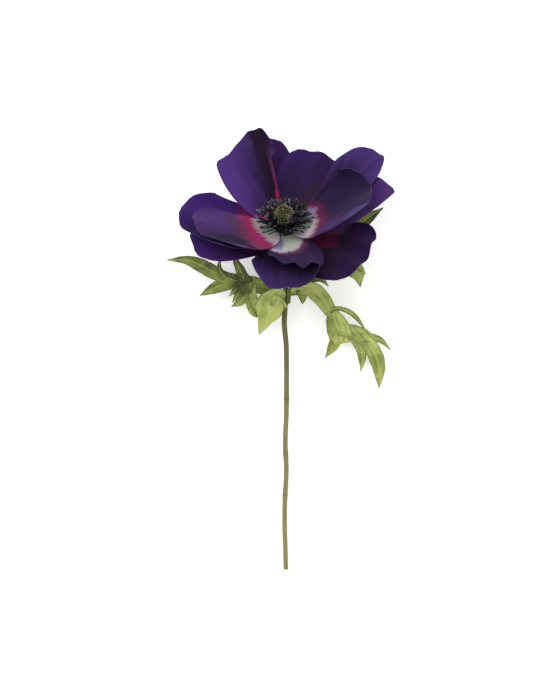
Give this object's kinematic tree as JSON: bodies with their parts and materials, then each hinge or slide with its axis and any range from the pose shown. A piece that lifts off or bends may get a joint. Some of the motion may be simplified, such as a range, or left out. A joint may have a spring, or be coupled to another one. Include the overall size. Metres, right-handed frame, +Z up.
{
  "type": "anemone flower",
  "caption": "Cut semi-double violet anemone laid down: layered cupped petals, a dark stamen ring round a domed carpel head, a thin bent stem and deeply cut green bracts.",
  "frame": {"origin": "middle of the bounding box at its underside, on the surface that the flower lies on", "axes": "+Y along the stem from its cut end to the bloom, +Z up from the surface, +X to the right seen from above with the bloom at the top"},
  "size_m": [0.1096, 0.2145, 0.0708],
  "materials": {
    "petal": "velvety deep violet with a crimson and white base",
    "leaf": "matt yellow-green leaf",
    "stem": "matt olive-green stem with fine down",
    "stamen": "blue-black filaments and anthers with pale pollen",
    "carpel": "downy olive-green carpels"
  },
  "bodies": {
    "root": {"petal_right_inner": "petal", "petal_left_inner": "petal", "petal_top_left": "petal", "petal_front_inner": "petal", "petal_right_upper": "petal", "petal_left_outer": "petal", "petal_right_outer": "petal", "petal_front": "petal", "petal_top": "petal", "petal_left_lower": "petal", "petal_right_lower": "petal", "petal_top_outer": "petal", "stem": "stem", "carpel_head": "carpel", "stamens": "stamen", "bract_left": "leaf", "bract_right": "leaf", "bract_back": "leaf"}
  },
  "joints": []
}
